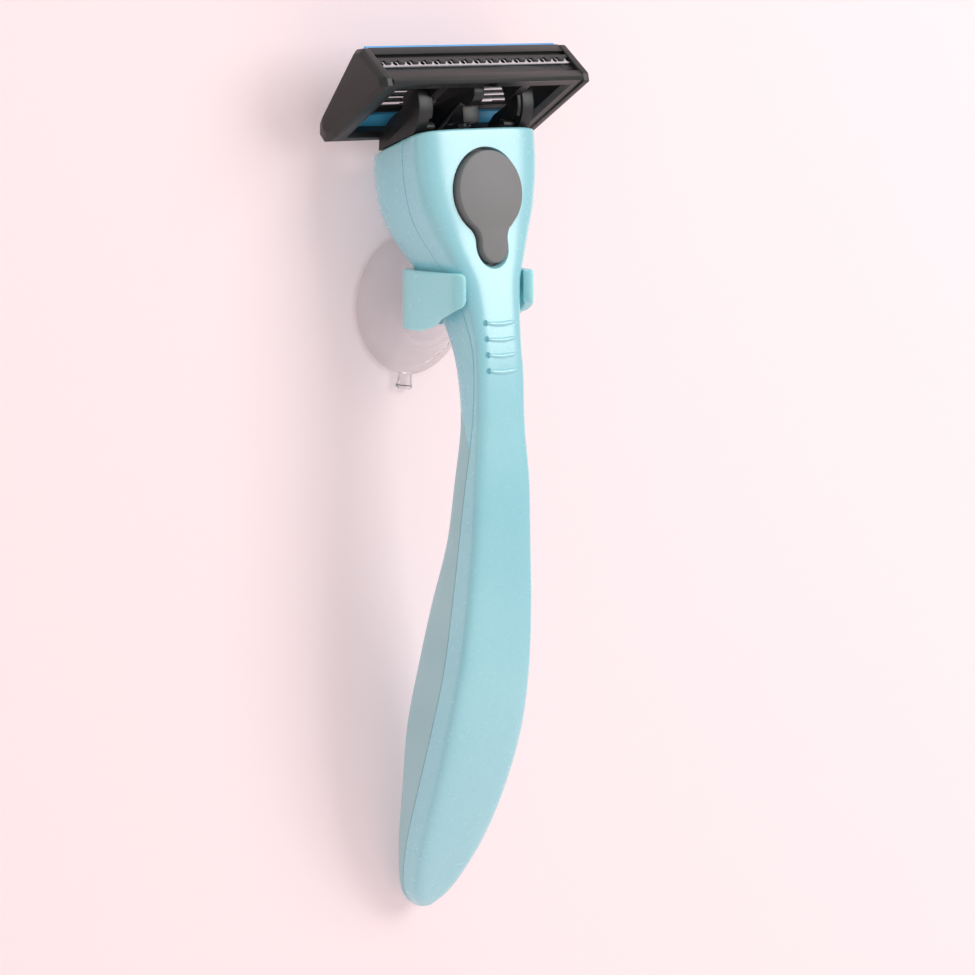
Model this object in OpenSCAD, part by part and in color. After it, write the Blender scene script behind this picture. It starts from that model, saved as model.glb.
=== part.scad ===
// Wet-shaving razor with a pivoting, releasable cartridge, hanging in a wall holder
// with a suction cup. Millimetres. Origin: centre of the suction cup on the wall plane.
// +Z up, -Y towards the user (away from the wall), +X to the right seen from the front.

/* [Handle] */
// Length from the neck down to the tail
grip_len = 86.6; // [72:0.2:104]
// Greatest width of the lower handle
grip_w = 16.2; // [13.5:0.1:19.5]
// Width of the neck
neck_w = 9.6; // [8.4:0.1:11.6]
// Width of the flared head
head_w = 24.8; // [24.2:0.1:29.8]
// Angle that the head leans back
head_lean = 7; // [4:0.5:10]
// Wall of the head shells
wall = 1.2; // [1:0.05:1.4]
// Thickness of the soft rear grip
grip_t = 1.5; // [1.2:0.1:1.8]

/* [Button] */
// Radius of the round part of the button
button_r = 6.4; // [5.4:0.1:7]
// Radius of the button's lower lobe
lobe_r = 2.7; // [2.2:0.1:3.1]
// Distance from the round part's centre down to the lobe's centre
lobe_drop = 8.3; // [7.6:0.1:9]
// How far the button stands proud
button_proud = 0.9; // [0.8:0.1:1.6]
// Travel of the button, and of the ejector that it drives
button_travel = 1.2; // [0.8:0.1:1.3]
// Groove round the button
groove = 0.45; // [0.3:0.05:0.6]

/* [Cartridge] */
// Width over the end caps
cartridge_w = 42.5; // [36:0.1:51]
// Angle of the blade face below the horizontal
face_angle = 52; // [46:1:58]
// Radius of the curved arms about the pivot axis
arm_r = 6.2; // [5.8:0.1:6.3]
// Thickness of one arm
arm_t = 2.2; // [1.8:0.1:2.4]
// Distance from one blade to the next
blade_pitch = 1.08; // [0.9:0.02:1.1]
// Length of the blades
blade_len = 36.6; // [30:0.1:37]

/* [Holder] */
// Radius of the suction cup's rim
cup_r = 11.2; // [9.4:0.1:13.4]
// Radius of the stem that carries the holder
stem_r = 2; // [1.7:0.05:2.4]
// Wall of the holder's clip
clip_t = 1.3; // [1.1:0.05:1.6]
// Play between the clip and the neck
clip_gap = 0.25; // [0.2:0.05:0.35]

/* [Hidden] */

$fn = 48;
eps = 0.01;                 // overlap that makes two solids one
slide_gap = 0.15;           // play of sliding pieces
run_gap = 0.08;             // radial play of round running fits

aqua = "#8FCDD6";
aqua_soft = "#ABD4D8";
aqua_clip = "#ADEDF3";
clear_pvc = "#C9D3D8";
dark = "#2C2D2D";
grey = "#838383";
steel = "#C4C8CC";
blue = "#5DB8F5";
deep_blue = "#3E9CC6";

// ---- Handle body: one row per station, from the head's mouth to the tail ----
// [z, front y, parting y, back y, half width, front squareness, back squareness]
neck_z = -10;
function head_hw(f) = neck_w / 2 + (head_w - neck_w) / 2 * f;
function tail_z(f) = neck_z - grip_len * f;
function tail_hw(f) = grip_w / 2 * f;
STATIONS = [
  [30, -17.4, -12.8, -2.4, head_hw(1), 4, 4],
  [22, -18.1, -13.0, -2.0, head_hw(1), 4, 4],
  [16, -18.8, -13.2, -2.1, head_hw(0.87), 4, 4],
  [12, -19.3, -13.7, -2.9, head_hw(0.67), 4, 4],
  [8, -20.1, -15.3, -5.0, head_hw(0.41), 4, 4],
  [4, -20.9, -17.2, -8.6, head_hw(0.17), 3.6, 4],
  [-4, -22.0, -19.9, -12.8, head_hw(0), 3.4, 4],
  [neck_z, -22.5, -20.8, -15.2, head_hw(0), 3.4, 4],
  [tail_z(0.09), -22.7, -20.6, -16.2, tail_hw(0.62), 3.6, 3.6],
  [tail_z(0.195), -22.9, -19.9, -15.4, tail_hw(0.72), 5, 3.4],
  [tail_z(0.3), -22.7, -18.9, -13.8, tail_hw(0.77), 6, 3.2],
  [tail_z(0.415), -22.1, -18.0, -10.2, tail_hw(0.85), 7, 3.2],
  [tail_z(0.53), -21.0, -16.8, -7.2, tail_hw(0.93), 7, 3.2],
  [tail_z(0.645), -18.7, -14.4, -4.9, tail_hw(1), 7, 3.2],
  [tail_z(0.76), -15.2, -10.8, -3.8, tail_hw(0.97), 7, 3],
  [tail_z(0.865), -11.0, -7.0, -2.9, tail_hw(0.87), 6, 3],
  [tail_z(0.945), -7.2, -3.9, -1.9, tail_hw(0.64), 5, 3],
  [tail_z(0.98), -5.3, -2.9, -1.6, tail_hw(0.42), 4, 3],
  [tail_z(1), -3.9, -2.8, -2.0, tail_hw(0.16), 3, 3]];
loft_steps = 2;             // rings from one station to the next
loft_sides = 36;
grip_start = 6;             // a station above the rear grip's upper edge
shell_end = 11;             // a station below that edge
core_start = 7;             // first and last station of the core under the grip
core_end = 16;

// Smooth curve through the rows of p, at index t
function spline(p, t) =
  let (n = len(p) - 1, k = min(floor(t), n - 1), f = t - k,
       a = p[max(k - 1, 0)], b = p[k], c = p[k + 1], d = p[min(k + 2, n)])
  0.5 * (2 * b + (c - a) * f + (2 * a - 5 * b + 4 * c - d) * f * f
         + (3 * b - a - 3 * c + d) * f * f * f);

// Outline of one station, grown by d, and by f at the front
function section(s, d, f) = [for (i = [0:loft_sides - 1])
  let (a = 360 * i / loft_sides, c = cos(a), q = sin(a),
       e = 2 / (q < 0 ? s[5] : s[6]),
       depth = q < 0 ? s[1] - s[2] - f : s[3] - s[2] + d)
  [(s[4] + d) * sign(c) * pow(abs(c), e), s[2] + depth * pow(abs(q), e), s[0]]];

// The handle's outer body from one station to another, grown by d, and by front at the front
module body_loft(d = 0, first = 0, last = len(STATIONS) - 1, front = undef) {
  rings = (last - first) * loft_steps;
  n = loft_sides;
  f = is_undef(front) ? d : front;
  points = [for (k = [0:rings]) each section(spline(STATIONS, first + k / loft_steps), d, f)];
  skin = [for (k = [0:rings - 1], i = [0:n - 1])
    let (j = (i + 1) % n, p = k * n, q = p + n)
    each [[p + i, p + j, q + j], [p + i, q + j, q + i]]];
  caps = [[for (i = [n - 1:-1:0]) i], [for (i = [0:n - 1]) rings * n + i]];
  polyhedron(points, concat(caps, skin));
}

// ---- Frames ----
// The head leans back: local -Y is out of the button's face, local +Z runs along the head
head_y = -18.6;
head_z = 18;
// The cartridge turns about this point; local +Y runs to the guard, local +Z out of the face
pivot_y = -9.9;
pivot_z = 31.4;
function to_head(y, z) = let (dy = y - head_y, dz = z - head_z)
  [dy * cos(head_lean) - dz * sin(head_lean), dy * sin(head_lean) + dz * cos(head_lean)];
function from_cartridge(y, z) = [pivot_y + y * cos(face_angle) + z * sin(face_angle),
  pivot_z - y * sin(face_angle) + z * cos(face_angle)];
pivot_in_head = to_head(pivot_y, pivot_z);

module head_frame() translate([0, head_y, head_z]) rotate([-head_lean, 0, 0]) children();
module cartridge_at() translate([0, pivot_y, pivot_z]) rotate([-face_angle, 0, 0]) children();
// A (y, z) profile made t thick along X, about x = 0
module in_side(t) rotate([90, 0, 90]) linear_extrude(t, center = true) children();
// An (x, z) outline made solid from y0 back to y1
module plate(y0, y1) translate([0, y1, 0]) rotate([90, 0, 0]) linear_extrude(y1 - y0) children();
// A box from its low corner to its high corner
module block(low, high) translate(low) cube(high - low);
// A pair mirrored about x = 0
module both_sides() { children(); mirror([1, 0, 0]) children(); }

// A helical compression spring along +Z, from z0 to z1
module coil(r, wire, z0, z1, turns) {
  steps = 10;
  sides = 6;
  count = round(turns * steps);
  pitch = (z1 - z0 - 2 * wire) / count;
  points = [for (k = [0:count]) let (a = 360 * k / steps)
    each [for (j = [0:sides - 1]) let (b = 360 * j / sides, q = r + wire * cos(b))
      [q * cos(a), q * sin(a), z0 + wire + k * pitch + wire * sin(b)]]];
  skin = [for (k = [0:count - 1], j = [0:sides - 1])
    let (m = (j + 1) % sides, p = k * sides, q = p + sides)
    each [[p + j, q + j, q + m], [p + j, q + m, p + m]]];
  caps = [[for (j = [0:sides - 1]) j], [for (j = [sides - 1:-1:0]) count * sides + j]];
  polyhedron(points, concat(caps, skin));
}

// ---- Handle shells ----
parting = [for (k = [0:(len(STATIONS) - 1) * loft_steps])
  let (s = spline(STATIONS, k / loft_steps)) [s[2], s[0]]];
parting_ends = [[parting[0][0], 60], [parting[len(parting) - 1][0], -140]];
module front_side() in_side(80)
  polygon(concat([parting_ends[0]], parting, [parting_ends[1], [-60, -140], [-60, 60]]));
module rear_side() in_side(80)
  polygon(concat([parting_ends[0]], parting, [parting_ends[1], [60, -140], [60, 60]]));

hollow_end = 5;             // station at the floor of the head's hollow
module hollow() body_loft(-wall, 0, hollow_end);

rim_front = [-17.8, 28.1];  // front and back of the mouth's rim
rim_back = [-2.2, 22.8];
rim_slope = atan((rim_front[1] - rim_back[1]) / (rim_back[0] - rim_front[0]));
module above_rim() translate([0, rim_front[0], rim_front[1]]) rotate([-rim_slope, 0, 0])
  block([-40, -20, 0], [40, 40, 30]);

button_z = 0.3;             // height of the round part's centre in the head's frame
waist_r = 3;                // fillet between the round part and the lobe
inner_face = 1.25;          // depth of the flat behind the button's opening
flange_t = 0.6;
flange_out = 1;
flange_gap = 0.1;
button_back = inner_face + flange_gap + flange_t;

// Outline of the button, grown by g: two circles with a filleted waist
module keyhole(g) translate([0, button_z]) {
  to_big = button_r + waist_r;
  to_small = lobe_r + waist_r;
  down = (to_big * to_big - to_small * to_small + lobe_drop * lobe_drop) / (2 * lobe_drop);
  out = sqrt(to_big * to_big - down * down);
  circle(button_r + g, $fn = 96);
  translate([0, -lobe_drop]) circle(lobe_r + g);
  difference() {
    polygon([[0, 0], [out, -down], [0, -lobe_drop], [-out, -down]]);
    for (s = [-1, 1]) translate([s * out, -down]) circle(waist_r - g);
  }
}

ridge_count = 4;
ridge_pitch = 2.45;
ridge_top = -1.9;           // height of the highest ridge
module grip_ridges() for (k = [0:ridge_count - 1]) {
  z = ridge_top - k * ridge_pitch;
  y = lookup(z, [[neck_z, -22.5], [-4, -22.0], [4, -20.9]]);
  translate([0, y + 0.15, z]) rotate([0, 90, 0]) cylinder(r = 0.5, h = 5, center = true, $fn = 16);
}

module front_shell() color(aqua) {
  difference() {
    intersection() { body_loft(); front_side(); }
    hollow();
    above_rim();
    head_frame() {
      plate(-6, 6) keyhole(groove);
      plate(inner_face, 6) keyhole(groove + flange_out + 0.3);
    }
  }
  grip_ridges();
}

// Upper edge of the rear grip in the side view, from the back round to the parting line
grip_edge = [[20, tail_z(0.01)], [-13.6, tail_z(0.025)], [-16, tail_z(0.046)],
  [-18.6, tail_z(0.085)], [-20.4, tail_z(0.133)], [-21.6, tail_z(0.185)], [-22.6, tail_z(0.2425)],
  [-40, tail_z(0.58)]];
module grip_side() in_side(80) polygon(concat(grip_edge, [[-40, -130], [20, -130]]));
module grip_core() body_loft(-grip_t, core_start, core_end, 1);
module rear_shell() color(aqua) difference() {
  intersection() {
    rear_side();
    union() {
      difference() { body_loft(0, 0, shell_end); grip_side(); }
      grip_core();
    }
  }
  hollow();
  above_rim();
}

module rear_grip() color(aqua_soft) difference() {
  intersection() { rear_side(); body_loft(0, grip_start); grip_side(); }
  grip_core();
}

// ---- Mechanism inside the head, in the head's frame ----
rod_y = 5.2;                // axis of the plunger's rod
rod_r = 1.17;
bridge_low = -2;
bridge_high = 2;
bridge_front = 3.9;
tongue_y = [7.4, 11.1];
tongue_half = 4.1;
tongue_low = -3.5;
spring_x = 4.2;             // side offset of the two button springs
return_y = 12.3;            // axis of the ejector's return spring
seat_depth = 1.7;
guide_x = tongue_half + slide_gap;

module guide_block() color(grey) head_frame() difference() {
  union() {
    block([-8.6, bridge_front, bridge_low], [8.6, 12.2, bridge_high]);
    block([-3, 12, bridge_low], [3, 13.9, bridge_high]);
    both_sides() {
      block([6, 12, -1], [7.2, 15.4, 1]);
      block([guide_x, 7.4, -9], [guide_x + 1, 10.8, bridge_low + eps]);
    }
  }
  translate([0, rod_y, bridge_low - 1]) cylinder(r = rod_r + run_gap, h = 8);
  block([-tongue_half - slide_gap, tongue_y[0] - slide_gap, bridge_low - 1],
    [tongue_half + slide_gap, tongue_y[1] + slide_gap, bridge_high + 1]);
  translate([0, return_y, bridge_low - 1]) cylinder(r = 1.25, h = 2);
  both_sides() translate([spring_x, bridge_front + seat_depth, 0]) rotate([90, 0, 0])
    cylinder(r = 1.5, h = seat_depth + 1);
}

wedge_half = 1.6;
wedge_top = -7.4;
wedge_start = 5;            // where the 45 degree face begins
wedge_drop = 2.8;
module release_button() color(grey) head_frame() {
  plate(-button_proud, 0.25 - button_proud) keyhole(-0.25);
  plate(0.25 - button_proud - eps, inner_face + flange_gap + eps) keyhole(0);
  plate(inner_face + flange_gap, button_back) keyhole(flange_out);
  in_side(2 * wedge_half) polygon([[button_back - eps, wedge_top], [wedge_start, wedge_top],
    [wedge_start + wedge_drop, wedge_top - wedge_drop],
    [wedge_start + wedge_drop, wedge_top - 3.5], [button_back - eps, wedge_top - 3.5]]);
  both_sides() translate([spring_x, button_back + 0.7, 0]) rotate([90, 0, 0])
    cylinder(r = 0.7, h = 0.8);
}

module button_springs() color(steel) head_frame() both_sides()
  translate([spring_x, button_back, 0]) rotate([-90, 0, 0])
    coil(1.05, 0.16, 0.02, bridge_front + seat_depth - button_back - 0.02, 4.5);

ramp_gap = 0.17;            // play along Y between the wedge and the ramp
ejector_top = tongue_low - button_travel - 0.2;
module ejector_slide() color(dark) head_frame() {
  in_side(2 * tongue_half) polygon([
    [wedge_start + ramp_gap, wedge_top], [wedge_start + ramp_gap, -5.5], [6.8, -5.5],
    [6.8, ejector_top], [10.8, ejector_top], [10.8, -9], [10, wedge_top - 3],
    [wedge_start + ramp_gap + 3, wedge_top - 3]]);
  block([-1.4, 10.8 - eps, -8.2], [1.4, 13.2, -6.2]);
}

module ejector_spring() color(steel) head_frame() translate([0, return_y, 0])
  coil(0.85, 0.16, -6.18, bridge_low + 0.98, 5);

nose_y = -4.6;              // cam on the cartridge's rib, in the cartridge's frame
nose_z = -2.4;
nose_r = 2;
nose_in_head = to_head(from_cartridge(nose_y, nose_z)[0], from_cartridge(nose_y, nose_z)[1]);
plunger_top = nose_in_head[1] - nose_r - 0.1;
plunger_half = 1.62;
plunger_low = 11.2;         // underside of the plunger's head, where its spring pushes
module plunger() color(grey) head_frame() {
  in_side(2 * plunger_half) polygon([[2.45, plunger_low], [2.45, plunger_top],
    [3.7, plunger_top], [6.5, plunger_top - 2.2], [6.5, plunger_low]]);
  translate([0, rod_y, -0.6]) cylinder(r = rod_r, h = 12);
}
module plunger_spring() color(steel) head_frame() translate([0, rod_y, 0])
  coil(1.5, 0.18, bridge_high + 0.02, plunger_low - 0.02, 6);

// ---- Yoke: two curved arms on a crossbar, with a tongue that docks in the handle ----
arm_out = head_w / 2 - 0.8;        // outer face of an arm above the mouth
arm_in = arm_out - arm_t;
foot_out = head_w / 2 - wall - 0.9; // outer face of its foot, inside the mouth
rail_t = 0.8;
rail_r = [5, 5.9];          // curved rail on the inner face of each arm
stop_in_head = to_head(-13.6, 28.3); // pin on each arm that ends the cartridge's turn
stop_len = 2.4;

// Ring sector about the origin, from angle a0 to a1
module sector(r0, r1, a0, a1) intersection() {
  difference() { circle(r1, $fn = 96); circle(r0, $fn = 96); }
  polygon([[0, 0], for (k = [0:4]) let (a = a0 + (a1 - a0) * k / 4) 20 * [cos(a), sin(a)]]);
}
module arm_profile() {
  intersection() {
    translate(pivot_in_head) circle(arm_r, $fn = 128);
    translate(pivot_in_head) polygon([[-2.6, 1.75], [-7, 2.9], [-9, -1], [-6, -9], [5, -9],
      [3.9, -6.2], [2.3, -2.8], [1.05, -1.75], [-2.15, -0.45]]);
  }
  polygon([[pivot_in_head[0] - 3.85, pivot_in_head[1] - 4.86], [5.5, 7], [tongue_y[0], 5.2],
    [tongue_y[0], 2.4], [11, 2.4], [11.4, 8], [10.9, 10.4]]);
}
// The room of the mouth's walls, which the arms step in from
module rim_walls() translate([0, rim_front[0], rim_front[1]]) rotate([-rim_slope, 0, 0])
  both_sides() block([foot_out, -20, -30], [40, 40, 0.3]);
module yoke() color(dark) {
  difference() {
    head_frame() both_sides() translate([arm_out - arm_t / 2, 0, 0]) in_side(arm_t) arm_profile();
    rim_walls();
  }
  head_frame() {
    both_sides() {
      translate([arm_in - rail_t / 2 + eps, pivot_in_head[0], pivot_in_head[1]]) in_side(rail_t)
        sector(rail_r[0], rail_r[1], 161, 205);
      translate([arm_in - stop_len, stop_in_head[0], stop_in_head[1]]) rotate([0, 90, 0])
        cylinder(r = 0.75, h = stop_len + eps);
    }
    block([-foot_out, tongue_y[0], 2.4], [foot_out, tongue_y[1] - 0.1, 6.2]);
    block([-tongue_half, tongue_y[0], tongue_low], [tongue_half, tongue_y[1], 2.5]);
  }
}

// ---- Cartridge, in its own frame ----
half = cartridge_w / 2;
cap_t = 2;                  // thickness of one end cap
frame_half = half - cap_t;
face_z = 3.7;               // height of the shaving plane over the pivot
back_cap = -5.3;            // back plane at the cap side and at the guard side
back_guard = 0.79;
cap_y = -9.2;
guard_y = 7.7;
back_slope = (back_guard - back_cap) / (guard_y - cap_y);
function back_z(y) = back_cap + (y - cap_y) * back_slope;
seat_z = 2.3;               // ledge that carries the blades
window_half = frame_half - 2.4;
window_y = [-6.5, 5.5];
rib_half = 1;               // half the middle rib between the two windows
blade_half = blade_len / 2;
first_blade = -4.1;
trimmer_z = -0.6;           // centre line of the trimmer's holes
trimmer_count = 15;
trimmer_pitch = 2.7;

strip_z = 3;                // seat and top of the lubricating strip
strip_top = 3.95;
strip_y = [cap_y + 0.4, -5.6];
module body_profile() polygon([[cap_y, strip_z], [cap_y, back_cap], [guard_y, back_guard],
  [guard_y - 0.9, face_z], [strip_y[1] + 0.1, face_z], [strip_y[1] + 0.1, strip_z]]);
module cheek_profile() difference() {
  polygon([[cap_y + 1, back_z(cap_y + 1)], [-3, back_z(-3)], [-3, seat_z], [cap_y + 1, seat_z]]);
  circle(4.2, $fn = 64);
}
module trimmer_holes(r, y0, y1) for (k = [0:trimmer_count - 1])
  translate([(k - (trimmer_count - 1) / 2) * trimmer_pitch, y1, trimmer_z]) rotate([90, 0, 0])
    cylinder(r = r, h = y1 - y0, $fn = 24);

module cartridge_frame() color(dark) cartridge_at() difference() {
  union() {
    difference() {
      in_side(2 * frame_half) body_profile();
      both_sides() block([rib_half, window_y[0], -9], [window_half, window_y[1], 9]);
      in_side(2 * plunger_half + 0.6) polygon([[-8.3, -9], [-8.3, -4], [6, 0.28], [6, -9]]);
    }
    block([-window_half - 1, 2.15, seat_z], [window_half + 1, 3.1, face_z - 0.3]);
    intersection() {
      in_side(2 * frame_half) body_profile();
      both_sides() translate([arm_in - slide_gap - 0.9, 0, 0]) in_side(1.8) cheek_profile();
    }
    translate([-rib_half, nose_y, nose_z]) rotate([0, 90, 0])
      cylinder(r = nose_r, h = 2 * rib_half);
  }
  block([-blade_half - 0.3, -4.9, seat_z], [blade_half + 0.3, 2.1, 9]);
  block([-frame_half + 0.4, -8.3, 2], [frame_half - 0.4, -4.85, 9]);
  block([-frame_half + 0.4, 3.15, 1.9], [frame_half - 0.4, 6, 9]);
  both_sides() translate([arm_in - slide_gap - 0.4, 0, 0]) in_side(0.9)
    sector(rail_r[0] - 0.1, rail_r[1] + 0.1, 160, 256);
  block([-frame_half - 1, cap_y - 1, -3.4], [frame_half + 1, cap_y + 0.5, 1.4]);
  trimmer_holes(0.4, cap_y - 1, cap_y + 2.2 + eps);
}

// Octagonal end cap, drawn at +X
module end_cap() color(dark) cartridge_at() {
  outline = [[-8.2, 3.9], [-9.35, 2.7], [-9.35, -4.2], [-8.5, -5.3], [6.9, 0.35], [7.9, 1.4],
    [7.7, 2.9], [6.4, 3.9]];
  hull() {
    translate([frame_half + 0.6, 0, 0]) in_side(1.2) polygon(outline);
    translate([half - 0.1, 0, 0]) in_side(0.2)
      translate([-0.8, 0]) scale(0.84) polygon(outline);
  }
}
module end_cap_left() mirror([1, 0, 0]) end_cap();
module end_cap_right() end_cap();

module guard_base() color(deep_blue) cartridge_at()
  block([-frame_half + 0.5, 3.25, 1.95], [frame_half - 0.5, 5.9, 2.6]);
module guard_rubber() color(dark) cartridge_at() {
  block([-frame_half + 0.5, 3.25, 2.6], [frame_half - 0.5, 5.9, 3.1]);
  for (y = [3.35, 4.2, 5.05]) block([-frame_half + 0.8, y, 3], [frame_half - 0.8, y + 0.45, 3.75]);
}
module lube_tray() color(dark) cartridge_at()
  block([-frame_half + 0.5, -8.2, 2.05], [frame_half - 0.5, -4.95, strip_z]);
module lube_strip() color(blue) cartridge_at()
  block([-frame_half + 0.05, strip_y[0], strip_z], [frame_half - 0.05, strip_y[1], strip_top]);

module trimmer_blade() color(steel) cartridge_at() difference() {
  block([-frame_half + 0.06, cap_y + 0.22, -1.7], [frame_half - 0.06, cap_y + 0.48, 0.6]);
  trimmer_holes(0.4, cap_y - 1, cap_y + 1);
}

function blade_y(k) = first_blade + (k - 1) * blade_pitch;
// One blade: a thin strip sloping up to its edge on the guard side
module blade(k) color(steel) cartridge_at() translate([0, blade_y(k), 0]) in_side(blade_len)
  polygon([[0.45, face_z - 0.06], [0.3, face_z - 0.03], [-0.46, 3.05], [-0.38, 2.95]]);
// Its bent holder, standing on the frame's ledges
module blade_holder(k) color(grey) cartridge_at() translate([0, blade_y(k), 0])
  in_side(blade_len - 0.6) polygon([[0.2, 3.4], [-0.36, 2.92], [-0.44, 2.8], [-0.44, seat_z + 0.02],
    [-0.2, seat_z + 0.02], [-0.2, 2.72], [0.3, 3.2]]);
module blade_1() blade(1);
module blade_2() blade(2);
module blade_3() blade(3);
module blade_4() blade(4);
module blade_5() blade(5);
module blade_6() blade(6);
module blade_holder_1() blade_holder(1);
module blade_holder_2() blade_holder(2);
module blade_holder_3() blade_holder(3);
module blade_holder_4() blade_holder(4);
module blade_holder_5() blade_holder(5);
module blade_holder_6() blade_holder(6);

// ---- Wall holder ----
hub_r = 7.2;                // raised ring of the cup
hub_z = 3.9;                // its height off the wall
knob_r = stem_r + 0.9;
module suction_cup() color(clear_pvc) {
  rotate([90, 0, 0]) rotate_extrude($fn = 96) polygon([[0, 2.2], [hub_r - 2.6, 1.9],
    [cup_r - 2.4, 0.9], [cup_r - 1.4, 0], [cup_r, 0], [cup_r, 0.35], [cup_r - 1.6, 1.6],
    [hub_r + 0.4, 2.9], [hub_r, 3.7], [hub_r - 0.3, hub_z], [stem_r + 1.2, hub_z - 0.1],
    [stem_r, hub_z + 0.3], [stem_r, 6.6], [knob_r, 6.8], [knob_r, 7.3], [stem_r + 0.3, 7.8],
    [0, 7.8]]);
  rotate([0, 8, 0]) block([-1.45, -0.8, -cup_r - 2.5], [1.45, -0.1, -cup_r + 0.8]);
}

clip_station = 4.45;        // the clip follows the neck's outline here, at its widest
clip_low = -3.2;
clip_high = 6.2;
tip_gap = neck_w / 2 + 0.9; // half the opening between the clip's tips
boss_r = stem_r + 2.4;
module clip_tube(g) translate([0, 0, clip_low - 1]) linear_extrude(clip_high - clip_low + 2)
  polygon([for (p = section(spline(STATIONS, clip_station), g, g)) [p[0], p[1]]]);
module holder_clip() color(aqua_clip) difference() {
  union() {
    intersection() {
      clip_tube(clip_gap + clip_t);
      in_side(40) polygon([[0, clip_high], [-22.4, clip_high - 0.2], [-23.2, 5.2], [-23.2, 1.7],
        [-20.5, 1.1], [-17.5, -0.6], [-14.5, -2.7], [-12, clip_low], [0, clip_low]]);
    }
    translate([0, -hub_z - 0.4, 1.5]) rotate([90, 0, 0]) cylinder(r = boss_r, h = 2);
  }
  clip_tube(clip_gap);
  block([-tip_gap, -40, -20], [tip_gap, -18, 20]);
  rotate([90, 0, 0]) cylinder(r = stem_r + run_gap, h = 9);
}

suction_cup();
holder_clip();
front_shell();
rear_shell();
rear_grip();
guide_block();
release_button();
button_springs();
ejector_slide();
ejector_spring();
plunger();
plunger_spring();
yoke();
cartridge_frame();
end_cap_left();
end_cap_right();
guard_base();
guard_rubber();
lube_tray();
lube_strip();
trimmer_blade();
blade_1();
blade_2();
blade_3();
blade_4();
blade_5();
blade_6();
blade_holder_1();
blade_holder_2();
blade_holder_3();
blade_holder_4();
blade_holder_5();
blade_holder_6();
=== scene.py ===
"""Looks of a wet-shaving razor hanging by its neck in a suction-cup holder.

Pieces are drawn in millimetres, in the handle's, the head's or the cartridge's own frame, and
are put in place in metres at the end. Each one rides on the body that carries it.
"""
import math

import bmesh
import bpy
from mathutils import Matrix, Vector


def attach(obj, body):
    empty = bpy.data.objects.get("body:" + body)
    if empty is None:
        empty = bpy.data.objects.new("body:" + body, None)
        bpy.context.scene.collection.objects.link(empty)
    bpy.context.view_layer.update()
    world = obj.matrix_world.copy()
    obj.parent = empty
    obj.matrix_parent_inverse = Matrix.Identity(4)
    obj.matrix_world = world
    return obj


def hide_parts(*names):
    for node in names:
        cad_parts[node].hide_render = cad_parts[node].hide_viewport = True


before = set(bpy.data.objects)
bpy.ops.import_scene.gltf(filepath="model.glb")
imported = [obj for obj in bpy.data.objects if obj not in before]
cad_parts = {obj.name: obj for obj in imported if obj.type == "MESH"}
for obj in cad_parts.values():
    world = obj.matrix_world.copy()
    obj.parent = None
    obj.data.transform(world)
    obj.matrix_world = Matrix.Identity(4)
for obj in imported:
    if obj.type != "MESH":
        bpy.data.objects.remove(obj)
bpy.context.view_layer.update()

MM = 0.001

# ================================================================ sizes, in millimetres

# Handle: z, front y, parting y, back y, half width, front squareness, back squareness
STATIONS = [
    (30, -17.4, -12.8, -2.4, 12.4, 4, 4),
    (22, -18.1, -13.0, -2.0, 12.4, 4, 4),
    (16, -18.8, -13.2, -2.1, 11.41, 4, 4),
    (12, -19.3, -13.7, -2.9, 9.89, 4, 4),
    (8, -20.1, -15.3, -5.0, 7.92, 4, 4),
    (4, -20.9, -17.2, -8.6, 6.09, 3.6, 4),
    (-4, -22.0, -19.9, -12.8, 4.8, 3.4, 4),
    (-10, -22.5, -20.8, -15.2, 4.8, 3.4, 4),
    (-17.8, -22.7, -20.6, -16.2, 5.02, 3.6, 3.6),
    (-26.9, -22.9, -19.9, -15.4, 5.83, 5, 3.4),
    (-36.0, -22.7, -18.9, -13.8, 6.24, 6, 3.2),
    (-45.9, -22.1, -18.0, -10.2, 6.89, 7, 3.2),
    (-55.9, -21.0, -16.8, -7.2, 7.53, 7, 3.2),
    (-65.9, -18.7, -14.4, -4.9, 8.1, 7, 3.2),
    (-75.8, -15.2, -10.8, -3.8, 7.86, 7, 3),
    (-84.9, -11.0, -7.0, -2.9, 7.05, 6, 3),
    (-91.8, -7.2, -3.9, -1.9, 5.18, 5, 3),
    (-94.9, -5.3, -2.9, -1.6, 3.4, 4, 3),
    (-96.6, -3.9, -2.8, -2.0, 1.3, 3, 3)]
LAST = len(STATIONS) - 1
JOIN_STATION = 3            # below this one the rings lie level
HOLLOW_END = 5              # floor of the head's hollow
CORE_START, CORE_END = 7, 16
WALL = 1.2
GRIP_T = 1.5
SEAM = 0.015                # half of the fine gap where two shells meet
SEAM_ROUND = 0.16
# Upper edge of the soft rear grip, as y, z
GRIP_LINE = [(20, -11), (-13.6, -12.2), (-16, -14), (-18.6, -17.4), (-20.4, -21.5),
             (-21.6, -26), (-22.6, -31), (-40, -60)]

RIM_FRONT = (-17.8, 28.1)   # front and back of the mouth's rim, as y, z
RIM_BACK = (-2.2, 22.8)
RIM_ROUND = 0.4

HEAD = Matrix.Translation((0, -18.6, 18)) @ Matrix.Rotation(math.radians(-7), 4, "X")
PIVOT = Vector((0, -9.9, 31.4))
CARTRIDGE = Matrix.Translation(PIVOT) @ Matrix.Rotation(math.radians(-52), 4, "X")
HERE = Matrix.Identity(4)

BUTTON_R, LOBE_R, LOBE_DROP, WAIST_R = 6.4, 2.7, 8.3, 3.0
BUTTON_Z, BUTTON_PROUD, GROOVE = 0.3, 0.9, 0.45
INNER_FACE, BUTTON_BACK = 1.25, 1.95

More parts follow.
